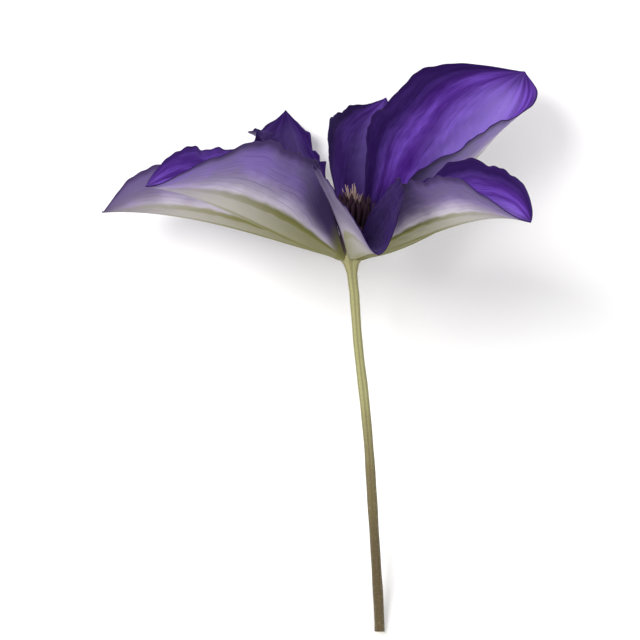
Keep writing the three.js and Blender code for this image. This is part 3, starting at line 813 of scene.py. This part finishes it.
def brush_tree(name, radius_shape, flatness, lobes=4, groove=1.0):
    """A ring of slender parts that lean outward in whorls, each cut from Start to End of its length.

    Across, a part has so many lobes, with grooves between them down to a share of its radius.
    """
    tree, given = new_tree(name, {
        "Int": ("Count", "Whorls", "Seed"), "Material": ("Material",),
        "Float": ("Foot Radius", "Foot Height", "Belly", "Neck", "Spread", "Height", "Closer", "Taller",
                  "Start", "End", "Radius", "Unruly")})
    # One bent path: up from the ring, out to the belly, by the neck to the top.
    bends = [add(tree, "ShaderNodeCombineXYZ", {"X": given["Foot Radius"], "Z": given["Foot Height"]})]
    for radius, share in (("Belly", 0.48), ("Neck", 0.72), ("Spread", 1)):
        height = add(tree, MATH, [given["Height"], share], operation="MULTIPLY")
        bends.append(add(tree, "ShaderNodeCombineXYZ", {"X": given[radius], "Z": height}))
    arc = add(tree, "GeometryNodeCurvePrimitiveBezierSegment", [PATH_POINTS, *bends])
    path = add(tree, "GeometryNodeResampleCurve", {"Curve": arc, "Count": PATH_POINTS})

    # Turned round the ring and scaled by whorl: the inner whorls lean less far and stand taller.
    index = add(tree, "GeometryNodeInputIndex")
    share = add(tree, MATH, [index, given["Count"]], operation="DIVIDE")
    azimuth = add(tree, MATH, [share, 2 * math.pi], operation="MULTIPLY")
    jitter = add(tree, "FunctionNodeRandomValue", {"Min": -0.12, "Max": 0.12, "Seed": given["Seed"]})
    azimuth = add(tree, MATH, [azimuth, jitter], operation="ADD")
    whorl = add(tree, MATH, [index, given["Whorls"]], operation="FLOORED_MODULO")
    closer = add(tree, MATH, [whorl, given["Closer"]], operation="MULTIPLY")
    uneven = add(tree, "FunctionNodeRandomValue", {"Min": 0.86, "Max": 1.0, "Seed": given["Seed"]})
    leaning = add(tree, MATH, [uneven, closer], operation="SUBTRACT")
    last = add(tree, MATH, [given["Whorls"], 1], operation="SUBTRACT")
    lower = add(tree, MATH, [last, whorl], operation="SUBTRACT")
    lower = add(tree, MATH, [lower, given["Taller"]], operation="MULTIPLY")
    tall = add(tree, MATH, [uneven, lower], operation="SUBTRACT")
    scale = add(tree, "ShaderNodeCombineXYZ", [leaning, leaning, tall])
    turn = add(tree, "ShaderNodeCombineXYZ", {"Z": azimuth})
    spots = add(tree, "GeometryNodePoints", [given["Count"]])
    placed = add(tree, "GeometryNodeInstanceOnPoints", {
        "Points": spots, "Instance": path, "Rotation": turn, "Scale": scale})
    loose = add(tree, "GeometryNodeRealizeInstances", [placed])

    # Each part sways a little, more towards its tip.
    along = add(tree, "GeometryNodeSplineParameter")
    sway = add(tree, NOISE, {"Scale": 140, "Detail": 1}).outputs["Color"]
    centred = add(tree, "ShaderNodeVectorMath", [sway, (0.5, 0.5, 0.5)], operation="SUBTRACT")
    amount = add(tree, MATH, [along, given["Unruly"]], operation="MULTIPLY")
    swayed = add(tree, "ShaderNodeVectorMath", [centred, amount], operation="SCALE")
    unruly = add(tree, "GeometryNodeSetPosition", {"Geometry": loose, "Offset": swayed})
    cut = add(tree, "GeometryNodeTrimCurve", {
        "Curve": unruly, "Start": given["Start"], "End": given["End"]})

    # Thickened by a lobed, flattened outline.
    facing = add(tree, "GeometryNodeSetCurveNormal", [cut], mode="Z_UP")
    marked = add(tree, "GeometryNodeStoreNamedAttribute", {
        "Geometry": facing, "Name": "along", "Value": along})
    profile = add(tree, "ShaderNodeFloatCurve", {"Value": along}, shape=radius_shape)
    thick = add(tree, MATH, [profile, given["Radius"]], operation="MULTIPLY")
    lobed = add(tree, "GeometryNodeCurveStar", {
        "Points": lobes, "Inner Radius": groove, "Outer Radius": 1.0})
    turned = add(tree, "GeometryNodeTransform", {"Geometry": lobed, "Rotation": (0, 0, math.pi / lobes)})
    oval = add(tree, "GeometryNodeTransform", {"Geometry": turned, "Scale": (1, flatness, 1)})
    skin = add(tree, "GeometryNodeCurveToMesh", {
        "Curve": marked, "Profile Curve": oval, "Scale": thick, "Fill Caps": True})
    return end_tree(tree, given, add(tree, "GeometryNodeSetShadeSmooth", [skin]))


def down_tree():
    """Short hairs that stand on the bark of a stalk, and not on its cut end, leaning every way."""
    tree, given = new_tree("Down", {
        "Float": ("Density", "Length"), "Int": ("Seed",), "Material": ("Material",)})
    slot = add(tree, "GeometryNodeInputMaterialIndex")
    bark = add(tree, "FunctionNodeBooleanMath", [slot], operation="NOT")
    spots = add(tree, "GeometryNodeDistributePointsOnFaces", {
        "Mesh": given["Geometry"], "Selection": bark, "Density": given["Density"], "Seed": given["Seed"]})
    thin = add(tree, MATH, [given["Length"], HAIR_GIRTH], operation="MULTIPLY")
    hair = add(tree, "GeometryNodeMeshCone", {
        "Vertices": 3, "Radius Top": 0.0, "Radius Bottom": thin, "Depth": given["Length"]})
    lean = add(tree, "FunctionNodeRandomValue", {
        "Min": (-0.7, -0.7, 0), "Max": (0.7, 0.7, 6.28), "Seed": given["Seed"]}, data_type="FLOAT_VECTOR")
    leaning = add(tree, "FunctionNodeRotateRotation", [spots.outputs["Rotation"], lean],
                  rotation_space="LOCAL")
    uneven = add(tree, "FunctionNodeRandomValue", {"Min": 0.5, "Max": 1.0, "Seed": given["Seed"]})
    placed = add(tree, "GeometryNodeInstanceOnPoints", {
        "Points": spots, "Instance": hair, "Rotation": leaning, "Scale": uneven})
    return end_tree(tree, given, placed)


# ---- Shape of the stalk ----
def stalk_radius(settings, below):
    """Radius of stalk and receptacle at a distance below the tepals' foot."""
    stem = np.interp(below, (0, STALK_LENGTH), (settings.top_radius, settings.cut_radius))
    heights = [-SWELL_START] + [height for _, height in RECEPTACLE]
    radii = [settings.top_radius] + [radius for radius, _ in RECEPTACLE]
    radius = np.where(below < SWELL_START, np.interp(-below, heights, radii), stem)
    rise = np.linspace(0, 1, DOME_ROWS)
    radius[-DOME_ROWS:] = RECEPTACLE[-2][0] * np.sqrt(1 - rise ** 2) * 0.98
    return np.maximum(radius, LEAST_RADIUS)


def stalk_bend(below):
    """How far the stalk stands to the right, evened out, at a distance below the tepals' foot."""
    offsets, places = zip(*STALK_BEND)
    bend = np.interp(below / STALK_LENGTH, places, offsets)
    even = np.ones(BEND_SPAN) / BEND_SPAN
    bend = np.convolve(np.pad(bend, BEND_SPAN // 2, mode="edge"), even, mode="valid")
    return np.where(below < 0, 0, bend)[:, None]


def stalk_mesh(settings):
    """Stalk, receptacle and cut end, as one closed surface from the cut to the receptacle's top."""
    sides = STALK_RIBS * SIDES_A_RIB
    below = np.concatenate([np.linspace(STALK_LENGTH, SWELL_START, STEM_ROWS),
                            np.linspace(SWELL_START - 0.3 * MM, -RECEPTACLE[-1][1], RECEPTACLE_ROWS)])
    angle = np.linspace(0, 2 * math.pi, sides, endpoint=False)
    ribbing = 0.5 - 0.5 * np.cos(STALK_RIBS * angle)
    # The grooves run out on the receptacle, and the stalk's girth is a little uneven.
    fade = np.clip((below + 2 * MM) / (8 * MM), 0, 1)[:, None]
    uneven = 1 + 0.03 * np.sin(below / (4.3 * MM)) + 0.02 * np.sin(below / (1.7 * MM) + 1)
    girth = (stalk_radius(settings, below) * uneven)[:, None] - ribbing * settings.rib_depth * fade
    girth = np.maximum(girth, LEAST_RADIUS)
    heights = np.broadcast_to(-below[:, None], girth.shape)
    rings = np.stack([stalk_bend(below) + girth * np.cos(angle), heights, girth * np.sin(angle)], -1)

    middle = rings[0].mean(0)
    cut = [middle + (rings[0] - middle) * share + (0, depth, 0) for share, depth in CUT_RINGS]
    rings = np.concatenate([cut, rings])
    points = to_frame(rings.reshape(-1, 3))
    points[:, 2] = points[:, 2].clip(0)
    index = np.arange(len(points)).reshape(-1, sides)
    onward = np.roll(index, -1, axis=1)
    faces = np.stack([index[:-1], index[1:], onward[1:], onward[:-1]], -1).reshape(-1, 4).tolist()
    faces += [index[0].tolist(), index[-1][::-1].tolist()]
    mesh = new_mesh("stalk_and_receptacle", points, faces)

    # The bark has the first material and the cut end the second.
    slots = np.zeros(len(faces), int)
    slots[:len(cut) * sides] = 1
    slots[-2] = 1
    mesh.polygons.foreach_set("material_index", slots)
    down = np.concatenate([np.ones(len(cut)), np.clip(below / STALK_LENGTH, 0, 1)])
    mark(mesh, "stem", ribbing, down[:, None], 0.0)
    return mesh


# ---- Operators ----
def stand_for(piece, node):
    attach(piece, "root")
    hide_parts(node)


class CLEMATIS_OT_tepals(Operator):
    """Make the eight tepals, with their ribs, waves and two skins"""
    bl_idname = "clematis.tepals"
    bl_label = "Tepals"

    def execute(self, context):
        settings = context.scene.clematis.tepal
        skins = tepal_inner_skin(settings), tepal_outer_skin(settings)
        for order, (node, tepal) in enumerate(TEPALS.items()):
            mesh = tepal_mesh(node.replace("tepal", "petal"), tepal, order, settings)
            for skin in skins:
                mesh.materials.append(skin)
            stand_for(new_object(mesh.name, mesh), node)
        return {"FINISHED"}


class CLEMATIS_OT_stalk(Operator):
    """Make the ribbed stalk with its receptacle and cut end, and the down on it"""
    bl_idname = "clematis.stalk"
    bl_label = "Stalk"

    def execute(self, context):
        settings = context.scene.clematis.stalk
        mesh = stalk_mesh(settings)
        mesh.materials.append(stalk_bark(settings))
        mesh.materials.append(stalk_pith(settings))
        stand_for(new_object(mesh.name, mesh), "stalk")
        down = grow("stalk_down", down_tree(), {
            "Density": settings.hairs, "Length": settings.hair_length, "Seed": SEED,
            "Material": grown_skin("Plant down", settings.pith, settings.pale, 0.5, 2000),
        }, mesh)
        # Hairs between the stalk and the floor are pressed flat.
        points = np.zeros(len(down.data.vertices) * 3)
        down.data.vertices.foreach_get("co", points)
        points[2::3] = np.maximum(points[2::3], PRESSED_HEIGHT)
        down.data.vertices.foreach_set("co", points)
        stand_for(down, "stalk")
        return {"FINISHED"}


class CLEMATIS_OT_stamens(Operator):
    """Make the filaments and the anthers that they carry"""
    bl_idname = "clematis.stamens"
    bl_label = "Stamens"

    def execute(self, context):
        settings = context.scene.clematis.stamen
        shared = {
            "Count": settings.count, "Whorls": WHORLS, "Foot Radius": RING_RADIUS,
            "Foot Height": RING_HEIGHT, "Belly": 1.95 * MM + 0.28 * settings.spread,
            "Neck": 0.96 * settings.spread, "Spread": settings.spread, "Height": settings.height,
            "Closer": 0.17, "Taller": 0.06, "Unruly": 1.7 * MM, "Seed": SEED,
        }
        filaments = grow_brush("filaments", brush_tree("filaments", FILAMENT_SHAPE, 0.5), {
            **shared, "Start": 0, "End": 0.57, "Radius": settings.filament_radius,
            "Material": grown_skin("Filament, fleshy and matt", settings.filament_foot, settings.filament,
                                   0.6, 1500)})
        stand_for(filaments, "stamens")
        anthers = grow_brush("anthers", brush_tree("anthers", ANTHER_SHAPE, 0.62, groove=0.7), {
            **shared, "Start": 0.49, "End": 1, "Radius": settings.anther_radius,
            "Material": grown_skin("Ripe anther, dry and grainy", settings.anther, settings.anther_edge,
                                   0.7, 2600)})
        stand_for(anthers, "stamens")
        return {"FINISHED"}


class CLEMATIS_OT_styles(Operator):
    """Make the silky styles in the middle of the flower"""
    bl_idname = "clematis.styles"
    bl_label = "Styles"

    def execute(self, context):
        settings = context.scene.clematis.stamen
        styles = grow_brush("styles", brush_tree("styles", STYLE_SHAPE, 1, lobes=3), {
            "Count": settings.styles, "Whorls": WHORLS, "Foot Radius": STYLE_RADIUS,
            "Foot Height": STYLE_FOOT, "Belly": 1.1 * MM, "Neck": 1.3 * MM, "Spread": 3.1 * MM,
            "Height": settings.style_height, "Closer": 0.28, "Taller": 0.03, "Start": 0, "End": 1,
            "Radius": settings.style_radius, "Unruly": 3 * MM, "Seed": SEED + 1,
            "Material": grown_skin("Silky style", settings.style, settings.style_tip, 0.45, 1800)})
        stand_for(styles, "pistils")
        return {"FINISHED"}


class CLEMATIS_OT_stage(Operator):
    """Make the pale floor, the soft lights and the camera that looks down on the flower"""
    bl_idname = "clematis.stage"
    bl_label = "Stage"

    def execute(self, context):
        scene = context.scene
        settings = scene.clematis.stage
        corners = FLOOR_REACH * np.array([(-1, -1, 0), (1, -1, 0), (1, 1, 0), (-1, 1, 0)])
        floor = new_object("floor", new_mesh("floor", corners, [(0, 1, 2, 3)]))
        floor.data.materials.append(floor_paper(settings))

        # The camera looks across the flower's axis, from the front, as at a flower that stands upright.
        low, high = CAD_BOX
        target = Vector((0, (low.y + high.y) / 2, FOOT_HEIGHT))
        turn = FLOWER_TO_FRAME.to_3x3()
        away = settings.width * settings.lens / SENSOR_WIDTH
        camera = bpy.data.objects.new("camera", bpy.data.cameras.new("camera"))
        camera.data.lens = settings.lens
        camera.data.sensor_width = SENSOR_WIDTH
        camera.matrix_world = Matrix.Translation(target + turn @ Vector((0, 0, away))) @ turn.to_4x4()
        scene.collection.objects.link(camera)
        scene.camera = camera

        for name, (place, size, power) in LAMPS.items():
            lamp = bpy.data.objects.new(name, bpy.data.lights.new(name, "AREA"))
            lamp.data.size = size
            lamp.data.energy = power
            lamp.location = target + turn @ Vector(place)
            lamp.rotation_euler = (target - lamp.location).to_track_quat("-Z", "Y").to_euler()
            scene.collection.objects.link(lamp)
        world = bpy.data.worlds.new("Pale sky")
        world.use_nodes = True
        fill(world.node_tree, world.node_tree.nodes["Background"],
             {"Color": linear(SKY_COLOUR), "Strength": SKY_STRENGTH})
        scene.world = world
        scene.view_settings.view_transform = "Standard"
        return {"FINISHED"}


class CLEMATIS_PT_panel(Panel):
    """Lists the flower's pieces and their settings"""
    bl_idname = "CLEMATIS_PT_panel"
    bl_label = "Clematis flower"
    bl_space_type = "VIEW_3D"
    bl_region_type = "UI"
    bl_category = "Clematis"

    def draw(self, context):
        settings = context.scene.clematis
        for operator, group in ((CLEMATIS_OT_tepals, settings.tepal), (CLEMATIS_OT_stalk, settings.stalk),
                                (CLEMATIS_OT_stamens, settings.stamen), (CLEMATIS_OT_styles, None),
                                (CLEMATIS_OT_stage, settings.stage)):
            box = self.layout.box()
            box.operator(operator.bl_idname)
            for name in group.__annotations__ if group else ():
                box.prop(group, name)


CLASSES = (
    TepalSettings, StalkSettings, StamenSettings, StageSettings, ClematisSettings,
    CLEMATIS_OT_tepals, CLEMATIS_OT_stalk, CLEMATIS_OT_stamens, CLEMATIS_OT_styles, CLEMATIS_OT_stage,
    CLEMATIS_PT_panel)


def register():
    for cls in CLASSES:
        bpy.utils.register_class(cls)
    bpy.types.Scene.clematis = PointerProperty(type=ClematisSettings)


def unregister():
    del bpy.types.Scene.clematis
    for cls in reversed(CLASSES):
        bpy.utils.unregister_class(cls)


def main():
    register()
    bpy.ops.clematis.stage()
    bpy.ops.clematis.stalk()
    bpy.ops.clematis.tepals()
    bpy.ops.clematis.stamens()
    bpy.ops.clematis.styles()


if __name__ == "__main__":
    main()
